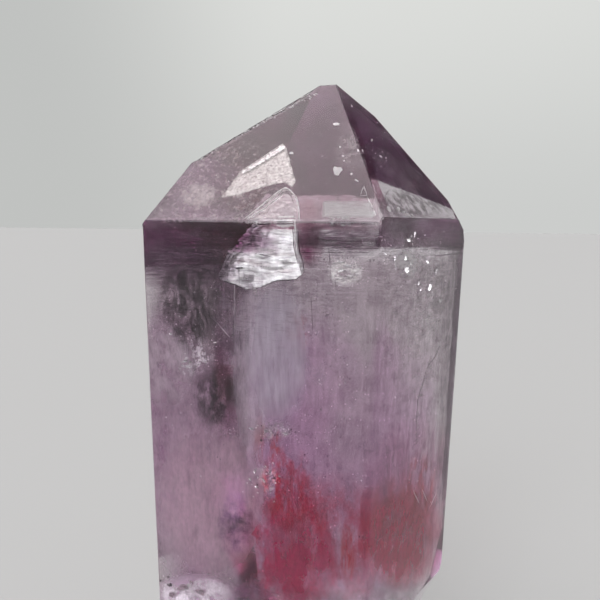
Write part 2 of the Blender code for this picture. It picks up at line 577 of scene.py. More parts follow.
def wisp(name, centre, facing, lean, width, rise, seed):
    """A wavy sheet that fills its stretch of the crystal. Angles are in degrees, lengths in mm."""
    bpy.ops.object.select_all(action="DESELECT")
    bpy.ops.mesh.primitive_grid_add(x_subdivisions=int(width * 2.2), y_subdivisions=int(rise * 2.2), size=1.0)
    sheet = bpy.context.object
    sheet.name = name
    turn = Euler((math.radians(90.0 + lean), 0.0, math.radians(facing))).to_matrix()
    outward = turn @ UP
    for vertex in sheet.data.vertices:
        flat = Vector((vertex.co.x * width, vertex.co.y * rise, 0.0))
        point = Vector(centre) + turn @ flat
        wave = noise.fractal(point * 0.16 + Vector((seed, 0.0, 0.0)), 1.0, 2.0, 3)
        vertex.co = (point + outward * wave * VEIL_WAVE) * MM
    work_on(sheet)
    bm = bmesh.from_edit_mesh(sheet.data)
    bmesh.ops.delete(bm, geom=[v for v in bm.verts if depth_inside(v.co) < VEIL_MARGIN], context="VERTS")
    bmesh.update_edit_mesh(sheet.data)
    put_down(sheet, smooth=True)
    set_cover(sheet, [min(1.0, (depth_inside(v.co) - VEIL_MARGIN) / VEIL_FADE) for v in sheet.data.vertices])
    return sheet


def veil_finish(name, kind, tone, strength, size, stretch, low, high, seed, two_walls=False):
    """A veil in clouds and streaks. It lets light by, and what stops it is a stain,
    milk made of fine bubbles, or air that mirrors.

    With two_walls, one sheet stops as much light as a crack with two walls would.
    """
    veil = bpy.data.materials.new(name)
    nodes = new_finish(veil)
    place = nodes.node("ShaderNodeTexCoord", take=3)
    cover = nodes.node("ShaderNodeAttribute", {"attribute_name": "cover"}, take=2)
    cloud = nodes.grain(place, size, detail=6.0, stretch=stretch, roughness=0.62, seed=seed)
    fine = nodes.grain(place, size * 0.12, detail=3.0, stretch=stretch, roughness=0.6, seed=seed + 4.0)
    broken_up = 0.25 if kind == "milk" else 0.55
    unbroken = 1.0 - broken_up + fine.within(0.35, 0.7) * broken_up
    share = cloud.within(low, high) * unbroken * cover * strength
    if two_walls:
        share = share * (2.0 - share)
    if two_walls and kind == "stain":
        tone = tuple(part * (2.0 - 2.0 * strength + strength * part) / (2.0 - strength)
                     for part in tone[:3]) + (1.0,)
    # A stain or milk veil is also used for painted shade and painted red light; the tables say which.
    clear = nodes.node("ShaderNodeBsdfTransparent")
    if kind == "stain":
        body = nodes.node("ShaderNodeBsdfTransparent", values={"Color": tone})
    elif kind == "milk":
        front = nodes.node("ShaderNodeBsdfDiffuse", values={"Color": tone})
        back = nodes.node("ShaderNodeBsdfTranslucent", values={"Color": tone})
        body = nodes.node("ShaderNodeMixShader", values={0: 0.5, 1: front, 2: back})
    else:
        uneven = nodes.node("ShaderNodeBump", values={
            "Strength": 0.6, "Distance": 0.05 * MM, "Height": cloud + fine * 0.5})
        body = nodes.node("ShaderNodeBsdfPrincipled", values={
            "Base Color": tone, "Metallic": 0.7, "Roughness": 0.22 + fine * 0.2, "Normal": uneven})
    nodes.node("ShaderNodeOutputMaterial", values={
        "Surface": nodes.node("ShaderNodeMixShader", values={0: share, 1: clear, 2: body})})
    return veil


def tall(times):
    """Grains drawn out upward, so many times as long as they are wide."""
    return (1.0, 1.0, times)


WISPS = [
    # name, centre, facing, lean, width, rise, strength, grain size, stretch, low, high
    ("veil_front", (0.6, -4.2, 33.0), -14.6, 4.0, 22.0, 24.0, 0.30, 2.2, tall(4), 0.40, 0.75),
    ("veil_back", (-0.5, 4.6, 30.0), -24.0, 8.0, 22.0, 26.0, 0.26, 3.0, tall(4), 0.38, 0.70),
    ("veil_right", (6.0, 0.0, 31.0), 62.0, 6.0, 16.0, 26.0, 0.18, 2.2, tall(4), 0.40, 0.75),
    ("veil_left", (-6.2, 0.5, 31.0), -70.0, -6.0, 16.0, 26.0, 0.30, 2.2, tall(4), 0.40, 0.75),
    ("veil_cap", (0.6, 0.4, 46.5), 8.0, -32.0, 18.0, 9.0, 0.30, 2.0, EVEN, 0.35, 0.75),
    ("milk_low_1", (0.3, 0.0, 14.5), 20.0, -82.0, 18.0, 18.0, 0.75, 1.6, EVEN, 0.30, 0.60),
    ("milk_low_2", (0.0, 0.3, 11.0), 95.0, -70.0, 15.0, 15.0, 0.80, 1.6, EVEN, 0.25, 0.55),
    ("milk_low_4", (0.2, 0.0, 3.0), 60.0, -80.0, 13.0, 13.0, 0.90, 1.6, EVEN, 0.20, 0.50),
]
for seed, (name, centre, facing, lean, width, rise, strength, size, stretch, low, high) in enumerate(WISPS):
    own(wisp(name, centre, facing, lean, width, rise, 7.0 * seed),
        veil_finish(name + "_milk", "milk", MILK, strength, size * MM, stretch, low, high, 1.0 + seed))


# Frosted cut. Where the stem was parted from the rock its end is ground flat and
# pale, not polished, so the floor doesn't show through it.
FROST_BOTTOM = 0.10 * MM
FROST_TOP = 0.25 * MM
FROST_SHARE = 0.97
FROST_WHITE = (0.95, 0.92, 0.95, 1.0)
FROST_GRAIN = 0.4 * MM
frosted_cut = slice_of_crystal("frosted_cut", FROST_BOTTOM, FROST_TOP, FROST_SHARE)
set_cover(frosted_cut, [1.0] * len(frosted_cut.data.vertices))
own(frosted_cut, veil_finish("frost", "milk", FROST_WHITE, 1.0, FROST_GRAIN, EVEN, 0.0, 0.2, 12.0))


# Shield fracture. A blow on the front shoulder left a shell-shaped crack under both
# faces. The air in it mirrors the light, its ribs run round the blow, and its left
# rim is splintered.
BLOW = (287, 222)
RIB_GAP = 7.5
RIB_DEPTH = 0.012
FLAW_THICKNESS = 0.02 * MM
SHIELD_BELOW = [
    (258, 224), (252, 227), (244, 236), (240, 243), (235, 249), (227, 257), (222, 267), (219, 278),
    (221, 281), (234, 284), (244, 289), (253, 290), (260, 288), (268, 284), (277, 281), (290, 280),
    (297, 279), (302, 275), (301, 267), (300, 260), (297, 251), (296, 237), (295, 223)]
SHIELD_ABOVE = [
    (242, 220), (257, 209), (272, 197), (282, 189), (286, 188), (291, 191), (296, 197),
    (298, 204), (299, 212), (299, 220)]


def far_from_rim(pixel, outline):
    """How many pixels a place is from the nearest side of an outline."""
    spot = Vector(pixel)
    nearest = PHOTO_SIDE
    for first, second in zip(outline, outline[1:] + outline[:1]):
        start, side = Vector(first), Vector(second) - Vector(first)
        share = min(1.0, max(0.0, (spot - start).dot(side) / side.length_squared))
        nearest = min(nearest, (start + side * share - spot).length)
    return nearest


def flaw(name, outline, depth, lean=(0.0, 0.0), spacing=3.0, fade=4.0, relief=None, cover_at=None, walls=2):
    """A thin crack that shows at an outline of pixels, so many millimetres behind the face.

    It has two walls with a gap between them, or is one sheet.
    """
    bpy.ops.object.select_all(action="DESELECT")
    bpy.ops.mesh.primitive_circle_add(vertices=len(outline), radius=1.0, fill_type="NGON")
    sheet = bpy.context.object
    sheet.name = name
    work_on(sheet)
    bm = bmesh.from_edit_mesh(sheet.data)
    bm.verts.ensure_lookup_table()
    for vertex, (right, down) in zip(bm.verts[:], outline):
        vertex.co = Vector((right, down, 0.0))
    for axis in range(2):
        way = Vector((1.0 - axis, float(axis), 0.0))
        mark = min(point[axis] for point in outline) + spacing
        while mark < max(point[axis] for point in outline):
            cut_across(bm, everything(bm), way * mark, way)
            mark += spacing
    bmesh.ops.triangulate(bm, faces=bm.faces)
    about = [sum(point[axis] for point in outline) / len(outline) for axis in range(2)]
    covers = []
    for vertex in bm.verts:
        pixel = (vertex.co.x, vertex.co.y)
        covers.append(cover_at(pixel) if cover_at else min(1.0, far_from_rim(pixel, outline) / fade))
        extra = relief(pixel) if relief else 0.0
        vertex.co = seen(pixel, depth + extra, lean, about)
    bmesh.ops.recalc_face_normals(bm, faces=bm.faces)
    bmesh.update_edit_mesh(sheet.data)
    put_down(sheet, smooth=True)
    set_cover(sheet, covers)
    if walls == 2:
        wall = sheet.modifiers.new("crack_width", "SOLIDIFY")
        wall.thickness = FLAW_THICKNESS
        bpy.ops.object.modifier_apply(modifier=wall.name)
    keep_inside(sheet)
    return sheet


def ribs(pixel):
    """The rise and fall of the ribs round the blow, in millimetres."""
    reach = (Vector(pixel) - Vector(BLOW)).length
    wobble = noise.noise(Vector((pixel[0] / 14.0, pixel[1] / 9.0, 0.0)))
    fine = noise.noise(Vector((pixel[0] / 30.0, pixel[1] / 2.2, 4.0)))
    return RIB_DEPTH * math.sin(2 * math.pi * (reach / RIB_GAP + wobble)) + 0.06 * wobble + 0.02 * fine


def air_gap_finish(name, bright, dull, least, streak, streak_size, low, high,
                   gloss=0.18, seed=0.0, strength=1.0):
    """Air in a crack: a mirror seen from inside the quartz, dull and open where it has healed."""
    air = bpy.data.materials.new(name)
    nodes = new_finish(air)
    place = nodes.node("ShaderNodeTexCoord", take=3)
    cover = nodes.node("ShaderNodeAttribute", {"attribute_name": "cover"}, take=2)
    streaks = nodes.grain(place, streak_size, detail=5.0, stretch=streak, roughness=0.6, seed=seed)
    fine = nodes.grain(place, 0.12 * MM, detail=3.0, seed=seed + 2.0)
    tone = nodes.mix(streaks.within(low, high), dull, bright)
    bumps = nodes.node("ShaderNodeBump", values={
        "Strength": 0.5, "Distance": 0.03 * MM, "Height": streaks + fine * 0.4})
    whole = (cover * 1.5 + fine * 0.8 - 0.4).within(0.0, 0.5)
    share = whole * (least + streaks.within(low, high) * (1.0 - least)) * strength
    mirror = nodes.node("ShaderNodeBsdfPrincipled", values={
        "Base Color": tone, "Metallic": 0.7, "Roughness": gloss + fine * 0.15, "Normal": bumps})
    clear = nodes.node("ShaderNodeBsdfTransparent")
    nodes.node("ShaderNodeOutputMaterial", values={
        "Surface": nodes.node("ShaderNodeMixShader", values={0: share, 1: clear, 2: mirror})})
    return air


def wide(times):
    """Streaks drawn out level, so many times as long as they are high."""
    return (times, times, 1.0)


SILVER = (0.96, 1.00, 0.97, 1.0)
SILVER_DULL = (0.74, 0.77, 0.75, 1.0)
own(flaw("shield_fracture_below", SHIELD_BELOW, 1.3, (0.0, -0.14), 2.0, 1.5, ribs),
    air_gap_finish("shield_air", SILVER, SILVER_DULL, 0.50, wide(5), 0.16 * MM, 0.26, 0.66,
                   gloss=0.24, strength=0.80))
own(flaw("shield_fracture_above", SHIELD_ABOVE, 0.8, (0.0, -0.03), 2.0, 1.5, ribs),
    air_gap_finish("shield_air_above", SILVER, SILVER_DULL, 0.35, wide(5), 0.3 * MM, 0.34, 0.62,
                   strength=0.26))


def plain_finish(name, colour, metallic, roughness, strength=1.0):
    """A small bright or dark flaw of one tone, a little uneven."""
    flat = bpy.data.materials.new(name)
    nodes = new_finish(flat)
    place = nodes.node("ShaderNodeTexCoord", take=3)
    uneven = nodes.grain(place, 0.10 * MM, detail=2.0)
    body = nodes.node("ShaderNodeBsdfPrincipled", values={
        "Base Color": nodes.mix(uneven, colour, tuple(0.8 * part for part in colour[:3]) + (1.0,)),
        "Metallic": metallic, "Roughness": roughness + 0.2 * uneven, "Alpha": strength})
    nodes.node("ShaderNodeOutputMaterial", values={"Surface": body})
    return flat


def tube(name, lines, width, material):
    """Thin lines through points inside the crystal, thinner at their ends."""
    course = bpy.data.curves.new(name, "CURVE")
    course.dimensions = "3D"
    course.bevel_depth = width / 2 * MM
    course.bevel_resolution = 1
    course.use_fill_caps = True
    for points in lines:
        spline = course.splines.new("POLY")
        spline.points.add(len(points) - 1)
        for number, point in enumerate(points):
            share = number / (len(points) - 1)
            taper = min(1.0, 6.0 * min(share, 1.0 - share) + 0.25)
            spline.points[number].co = point.to_4d()
            spline.points[number].radius = taper * (0.8 + 0.5 * noise.noise(point / (0.25 * MM)))
    line = bpy.data.objects.new(name, course)
    scene.collection.objects.link(line)
    bpy.ops.object.select_all(action="DESELECT")
    line.select_set(True)
    bpy.context.view_layer.objects.active = line
    bpy.ops.object.convert(target="MESH")
    work_on(line)
    bpy.ops.mesh.remove_doubles(threshold=1e-7)
    put_down(line, smooth=True)
    set_cover(line, [1.0] * len(line.data.vertices))
    keep_inside(line)
    own(line, material)
    return line


def thread(name, paths, width, depth, material, steps=5):
    """Thin lines that follow pixels, so many millimetres behind the face."""
    lines = []
    for path in paths:
        pixels = [Vector(first).lerp(Vector(second), step / steps)
                  for first, second in zip(path, path[1:]) for step in range(steps)]
        points = []
        for pixel in pixels + [Vector(path[-1])]:
            jitter = 0.5 * noise.noise(Vector((pixel.x / 5.0, pixel.y / 5.0, depth)))
            points.append(seen((pixel.x + jitter, pixel.y + jitter), depth))
        lines.append(points)
    return tube(name, lines, width, material)


def edge_line(name, low, high, outward, width, stretches, material, steps=24):
    """A broken line just under a worn edge of the crystal, along stretches given as shares of it."""
    lines = []
    for start, end in stretches:
        points = []
        for step in range(steps + 1):
            share = start + (end - start) * step / steps
            under = 0.10 + 0.05 * noise.noise(Vector((start * 9.0, step * 0.7, 0.0)))
            points.append(low.lerp(high, share) - outward * under * MM)
        lines.append(points)
    return tube(name, lines, width, material)


white_edge = plain_finish("white_edge", (0.98, 0.97, 0.98, 1.0), 0.2, 0.25)
dark_edge = plain_finish("dark_edge", (0.06, 0.04, 0.06, 1.0), 0.0, 0.4)
SHIELD_RIM_LEFT = [(247, 220), (261, 210), (274, 201), (283, 193)]
SHIELD_RIM_RIGHT = [(295, 223), (296, 237), (297, 251), (300, 260), (302, 267), (302, 274)]
SHIELD_SHADE_BELOW = [
    [(253, 290), (260, 288), (268, 284), (277, 281), (290, 280), (297, 279), (302, 275)],
    [(298, 226), (299.5, 251), (303, 262), (304, 272)], [(292.5, 226), (294, 248), (298, 264)],
    [(221, 280), (234, 284.5), (244, 289), (253, 290)]]
SHIELD_SHADE_ABOVE = [
    [(255, 211), (268, 202), (280, 193)], [(282, 193), (287, 192), (291, 196), (294, 204)],
    [(243, 219), (257, 207), (272, 195), (283, 186)]]
thread("shield_rim_above", [SHIELD_ABOVE, SHIELD_RIM_LEFT], 0.14, 0.5, white_edge)
thread("shield_rim_right", [SHIELD_RIM_RIGHT], 0.22, 0.6, white_edge)
thread("shield_rim_dark", SHIELD_SHADE_BELOW, 0.06, 0.95, dark_edge)
thread("shield_rim_dark_above", SHIELD_SHADE_ABOVE, 0.04, 0.7, dark_edge)


def chip(bm, centre, across, upward, thickness, corners, chance):
    """Add one flat splinter of quartz: a thin block with a few uneven corners."""
    facing = across.cross(upward).normalized()
    frame_of_chip = Matrix((
        (across.x, upward.x, facing.x * thickness, centre.x),
        (across.y, upward.y, facing.y * thickness, centre.y),
        (across.z, upward.z, facing.z * thickness, centre.z),
        (0.0, 0.0, 0.0, 1.0)))
    made = bmesh.ops.create_cone(
        bm, cap_ends=True, segments=corners, radius1=0.5, radius2=0.34, depth=1.0, matrix=frame_of_chip)
    for vertex in made["verts"]:
        vertex.co += across * chance.uniform(-0.2, 0.2) + upward * chance.uniform(-0.2, 0.2)


def chips(name, spots, material, seed, thickness=0.03, corners=(4, 7), face_right=0.0):
    """Flat splinters, in one mesh.

    A spot is a pixel, a depth, a size in pixels, and how it is turned and tipped in degrees.
    """
    chance = random.Random(seed)
    mesh = bpy.data.meshes.new(name)
    piece = bpy.data.objects.new(name, mesh)
    scene.collection.objects.link(piece)
    bm = bmesh.new()
    for pixel, depth, size, turn, tip in spots:
        centre = seen(pixel, depth)
        away = centre - CAMERA_PLACE
        scale = away.length / FOCAL_PIXELS
        away.normalize()
        sideways = away.cross(UP).normalized()
        standing = sideways.cross(away).normalized()
        spin = Matrix.Rotation(math.radians(turn), 3, away)
        sideways, standing = spin @ sideways, spin @ standing
        standing = Matrix.Rotation(math.radians(-tip), 3, sideways) @ standing
        sideways = Matrix.Rotation(math.radians(face_right), 3, standing) @ sideways
        across = sideways * size[0] * scale
        upward = standing * size[1] * scale / max(0.3, math.cos(math.radians(tip)))
        chip(bm, centre, across, upward, thickness * MM, chance.randint(*corners), chance)
    bmesh.ops.recalc_face_normals(bm, faces=bm.faces)
    bm.to_mesh(mesh)
    bm.free()
    keep_inside(piece)
    own(piece, material)
    return piece


def along(path, count, spread, chance):
    """Pixels scattered along a path, within a spread of it."""
    sides = [(Vector(b) - Vector(a)).length for a, b in zip(path, path[1:])]
    found = []
    for _ in range(count):
        way = chance.uniform(0.0, sum(sides))
        for side, (first, second) in zip(sides, zip(path, path[1:])):
            if way <= side:
                spot = Vector(first).lerp(Vector(second), way / side)
                found.append((spot.x + chance.gauss(0.0, spread), spot.y + chance.gauss(0.0, spread)))
                break
            way -= side
    return found


def strewn(path, count, spread, depth, widths, heights, turns, tips, chance):
    """Spots for splinters along a path, each sized, turned and tipped at random between two bounds."""
    return [(pixel, depth, (chance.uniform(*widths), chance.uniform(*heights)),
             chance.uniform(*turns), chance.uniform(*tips))
            for pixel in along(path, count, spread, chance)]


SPLINTER_PATH = [(257, 225), (250, 230), (243, 238), (238, 248), (230, 256), (225, 267), (221, 277)]
SHIELD_SPOTS = [
    # pixel, depth, size in pixels, turn, tip
    ((249, 244), 0.9, (7, 2.2), 0, 0), ((252, 240), 0.9, (4, 1.6), 20, 0), ((256, 246), 0.9, (9, 1.0), -5, 0),
    ((238, 268), 0.9, (10, 1.4), -4, 0), ((282, 223.5), 0.9, (15, 1.4), 0, 0),
    ((262, 255), 0.9, (14, 0.8), 8, 0)]
SHIELD_GLEAMS = [
    ((250, 278), 1.0, (22, 8), -12, 12), ((262, 236), 1.0, (9, 5), 0, 12), ((284, 262), 1.0, (18, 5), 4, 12),
    ((268, 250), 1.0, (24, 2.4), 3, 12), ((276, 243), 1.0, (16, 1.6), 2, 12),
    ((272, 268), 1.0, (26, 2.0), 2, 12)]
chance = random.Random(21)
bright_splinter = plain_finish("bright_splinter", (0.99, 0.97, 0.98, 1.0), 0.55, 0.12)
dull_splinter = plain_finish("dull_splinter", (0.16, 0.13, 0.16, 1.0), 0.5, 0.2)
chips("shield_splinters",
      strewn(SPLINTER_PATH, 150, 1.1, 1.1, (2, 6), (1.5, 4), (-50, -30), (2, 22), chance),
      bright_splinter, 1)
chips("shield_splinters_dark",
      strewn(SPLINTER_PATH, 34, 1.6, 1.0, (1, 4), (0.6, 1.4), (-70, -10), (-20, 20), chance) + SHIELD_SPOTS,
      dull_splinter, 2)
chips("shield_gleams", SHIELD_GLEAMS,
      plain_finish("shield_gleam", (0.97, 1.0, 0.98, 1.0), 0.5, 0.2, 0.55), 3, thickness=0.02)


# Healed facet. Behind the front cap face hangs a flat healed crack with straight
# sides, creamy and specked, with a brighter strip along its upper side.
FACET = [
    (240, 171), (283, 143), (287, 148), (288, 152), (296, 181), (293, 188), (284, 183), (272, 185),
    (260, 188.5), (248, 192), (240, 195.5), (220, 198)]
FACET_STRIP = [(240, 171), (283, 143), (287, 148), (281, 152), (252, 169.5), (241, 175)]
FACET_GREY_SIDE = [
    (262, 166), (287, 150), (288, 152), (296, 181), (293, 188), (284, 183), (272, 185), (262, 188)]
CREAM = (0.96, 0.98, 0.92, 1.0)
CREAM_DULL = (0.72, 0.70, 0.68, 1.0)
STRIP_WHITE = (1.0, 1.0, 0.98, 1.0)
FACET_GREY = (0.46, 0.44, 0.46, 1.0)
own(flaw("healed_facet", FACET, 0.75, fade=0.8),
    air_gap_finish("facet_air", CREAM, CREAM_DULL, 0.6, wide(1.5), 0.14 * MM, 0.15, 0.80,
                   gloss=0.35, seed=5.0, strength=0.76))
own(flaw("healed_facet_strip", FACET_STRIP, 0.6, fade=0.6),
    air_gap_finish("strip_air", STRIP_WHITE, CREAM, 0.8, EVEN, 0.3 * MM, 0.2, 0.5, gloss=0.3, strength=0.75))
own(flaw("healed_facet_grey_side", FACET_GREY_SIDE, 0.9, fade=5.0),
    veil_finish("facet_grey", "stain", FACET_GREY, 0.90, 0.9 * MM, EVEN, 0.2, 0.6, 6.0))


# Mirrors. Small flat cracks that catch the light, on the cap, on the front and under
# the right shoulder. Those in the body mirror more than those in the cap.
CAP_TIP = 38
BODY_TIP = 11
BODY_NEARER = 0.5
RIGHT_YAW = 26
mirror_white = plain_finish("mirror_white", (1.0, 1.0, 1.0, 1.0), 0.12, 0.2)
mirror_bright = plain_finish("mirror_bright", (1.0, 1.0, 1.0, 1.0), 0.85, 0.08)
CAP_MIRRORS = [
    # pixel, depth, size in pixels, turn
    ((333, 219), 0.9, (7, 3), -20), ((338, 217.5), 1.0, (4, 3), 30), ((344, 218.5), 1.0, (8, 4), -12),
    ((349, 219), 0.9, (5, 2.4), 10), ((389, 208.5), 0.2, (7, 6), 0), ((398.5, 209), 0.2, (9, 5), -32),
    ((403.5, 212.5), 0.2, (11, 6), -36), ((408, 214.5), 0.2, (8, 3), -10), ((412.5, 215), 0.2, (5, 2), 0),
    ((338, 170.5), 0.7, (10, 8), 35), ((336.5, 124), 0.6, (8, 3), 0), ((340, 147), 0.7, (2.2, 2), 0),
    ((343, 155.7), 0.7, (2.4, 2.4), 0), ((344, 160.6), 0.7, (2, 1.8), 0),
    ((351.3, 173.7), 0.7, (2.6, 2.4), 0), ((357, 180.5), 0.7, (5, 1.4), 45),
    ((371, 205), 0.8, (1.6, 12), -24), ((374, 213), 0.8, (2.4, 7), -28),
    ((362.5, 150.4), 0.5, (2, 3), 0), ((380.9, 156.5), 0.6, (3, 2.4), 30), ((291.4, 153), 0.6, (4, 2.4), -20),
    ((351.8, 106), 0.4, (1.6, 3), 0), ((372, 140), 0.5, (2, 4), 40), ((386, 157.6), 0.5, (2, 2), 0)]
BODY_MIRRORS = [
    ((342, 247), 1.0, (8, 2), 0), ((350, 246.5), 1.0, (8, 1.8), 2), ((332, 247.5), 1.0, (7, 1.2), 0),
    ((205, 298), 1.2, (2.6, 2.6), 0), ((186, 361), 1.2, (6, 3), 0), ((190, 362), 1.2, (4, 2.4), 30),
    ((200, 312.5), 1.2, (2, 2), 0), ((194.5, 292.5), 1.2, (2, 2), 0), ((219.5, 339), 1.2, (2, 2), 0),
    ((345, 382), 1.2, (2.4, 2.4), 0), ((321, 410), 1.2, (2, 2.4), 0), ((329, 353), 1.2, (4, 1.2), 0),
    ((340, 262), 1.0, (10, 2), 0), ((348, 266), 1.0, (9, 2.4), 4), ((342, 271), 1.0, (8, 2), -4),
    ((350, 276), 1.0, (10, 2.4), 2), ((338, 279), 1.0, (6, 2), 0), ((180, 316), 1.2, (5, 1.4), 20),
    ((171, 334), 1.2, (3, 2), 0), ((213, 332), 1.2, (3, 2), 30), ((216, 342), 1.2, (6, 2), -10),
    ((252, 429), 1.2, (6, 3), 20), ((266, 431), 1.2, (5, 4), 40), ((286, 434), 1.2, (7, 3), 10),
    ((255, 471), 0.8, (2.2, 7), 24), ((263, 480), 0.8, (2.6, 6), -40), ((270, 473), 0.8, (2, 5), 10),
    ((257, 487), 0.8, (5, 2.4), 12), ((271, 487), 0.8, (3.4, 3), 0), ((250, 479), 0.8, (3, 2), 60),
    ((265, 467), 0.8, (2.4, 2), 0), ((182, 588), 0.6, (12, 6), -20), ((200, 592), 0.6, (10, 5), 15),
    ((172, 594), 0.6, (6, 7), 0), ((191, 582), 0.6, (5, 3), 40)]
RIGHT_MIRRORS = [
    ((386, 254), 1.0, (7, 3), 10), ((390, 256), 1.0, (4, 3), -20), ((395, 258), 1.0, (4, 10), 4),
    ((396, 266), 1.0, (3.5, 9), -6), ((405, 259), 1.0, (8, 13), 3), ((411, 262), 1.0, (8, 15), -4),
    ((407, 270), 1.0, (9, 6), 12), ((414, 270), 1.0, (4, 7), 20), ((419, 283), 1.0, (3, 6), 0),
    ((421, 290), 1.0, (3, 5), 14), ((409, 240), 0.8, (7, 4), 12), ((415, 234), 0.8, (4, 7), 0),
    ((444, 232), 0.8, (3, 3), 0), ((425, 235), 0.8, (2, 2), 0), ((411, 346), 1.0, (4, 2.4), 0),
    ((438, 402), 0.8, (3, 2), 0), ((450, 388), 0.4, (1.6, 3), 0), ((436, 503), 0.8, (2.6, 12), -28),
    ((428, 262), 1.0, (9, 3), 10), ((436, 272), 1.0, (6, 8), 0), ((430, 288), 1.0, (4, 9), 12),
    ((440, 300), 0.8, (4, 6), 0), ((456, 288), 0.3, (2, 3), 0), ((455, 296), 0.3, (2, 2.4), 0)]
for name, mirrors, nearer, tip, yaw, finish, seed in (
        ("mirrors_in_cap", CAP_MIRRORS, 1.0, CAP_TIP, 0.0, mirror_white, 4),
        ("mirrors_in_body", BODY_MIRRORS, BODY_NEARER, BODY_TIP, 0.0, mirror_bright, 5),
        ("mirrors_on_right", RIGHT_MIRRORS, BODY_NEARER, BODY_TIP, RIGHT_YAW, mirror_bright, 6)):
    chips(name, [(pixel, depth * nearer, size, turn, tip) for pixel, depth, size, turn in mirrors],
          finish, seed, face_right=yaw)
